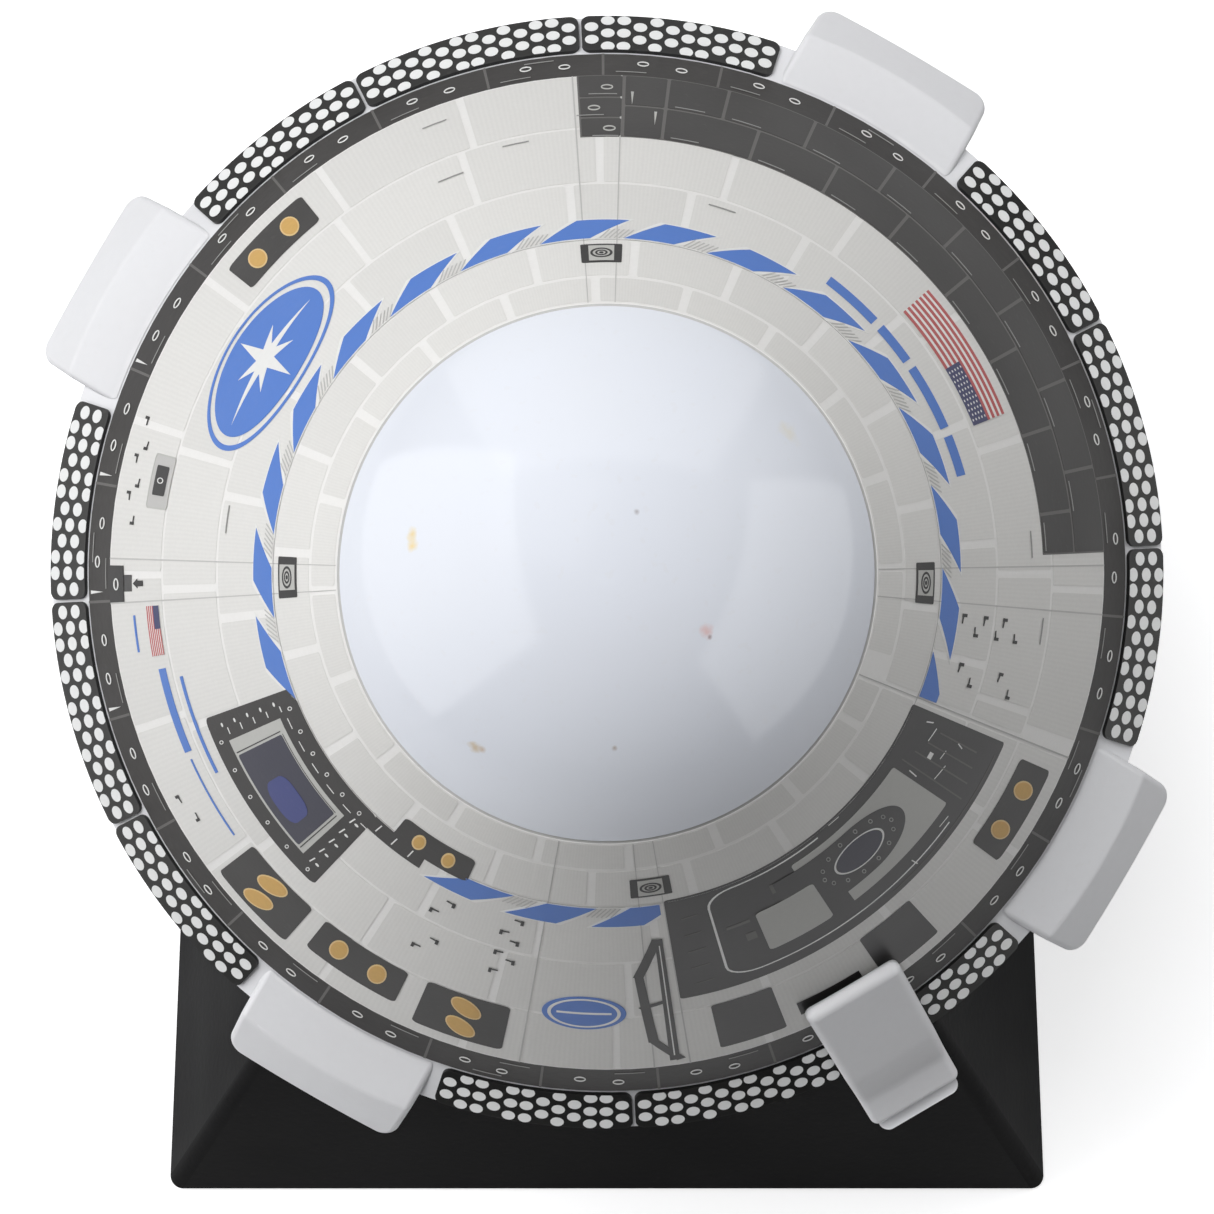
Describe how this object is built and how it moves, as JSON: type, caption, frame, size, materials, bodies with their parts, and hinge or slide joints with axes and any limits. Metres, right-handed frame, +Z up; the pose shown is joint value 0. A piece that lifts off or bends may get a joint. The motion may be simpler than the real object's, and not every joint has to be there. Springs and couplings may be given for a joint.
{
  "type": "display model of a space capsule",
  "caption": "Desk display model of a crewed space capsule with service module, leaning forward on a post over a sloped black plinth.",
  "frame": {"origin": "centre of the felt pad's underside, on the table", "axes": "+Z up, -Y towards the plinth's front, the side the nose leans to; +X to the right seen from the front"},
  "size_m": [0.164, 0.1724, 0.2239],
  "materials": {
    "gloss_white": "glossy moulded white",
    "shell_white": "semi-gloss painted white",
    "printed_wrap": "satin printed wrap, pale grey with dark, blue and gold print",
    "shield_grey": "matt dark grey print",
    "panel_black": "black print with white dots",
    "bulkhead_grey": "matt pale grey",
    "nozzle_grey": "matt dark grey",
    "cell_blue": "gloss dark blue cells",
    "post_black": "satin black",
    "plinth_black": "satin black lacquer",
    "felt_black": "felt"
  },
  "bodies": {
    "root": {"aft_bulkhead": "bulkhead_grey", "aft_thrusters_1": "nozzle_grey", "aft_thrusters_2": "nozzle_grey", "aft_thrusters_3": "nozzle_grey", "aft_thrusters_4": "nozzle_grey", "base_pad": "felt_black", "cell_plate_1": "cell_blue", "cell_plate_2": "cell_blue", "cell_plate_3": "cell_blue", "cell_plate_4": "cell_blue", "crew_cone": "printed_wrap", "heat_shield": "shield_grey", "main_engine_1": "nozzle_grey", "main_engine_2": "nozzle_grey", "main_engine_3": "nozzle_grey", "main_engine_4": "nozzle_grey", "nose_dome": "gloss_white", "plinth": "plinth_black", "post_collar": "post_black", "radiator_panel_01": "panel_black", "radiator_panel_02": "panel_black", "radiator_panel_03": "panel_black", "radiator_panel_04": "panel_black", "radiator_panel_05": "panel_black", "radiator_panel_06": "panel_black", "radiator_panel_07": "panel_black", "radiator_panel_08": "panel_black", "radiator_panel_09": "panel_black", "radiator_panel_10": "panel_black", "radiator_panel_11": "panel_black", "radiator_panel_12": "panel_black", "service_module": "shell_white", "stand_post": "post_black", "thruster_housing_1": "shell_white", "thruster_housing_2": "shell_white", "thruster_housing_3": "shell_white", "thruster_housing_4": "shell_white", "umbilical_cover": "shell_white", "umbilical_foot": "shell_white"}
  },
  "joints": []
}
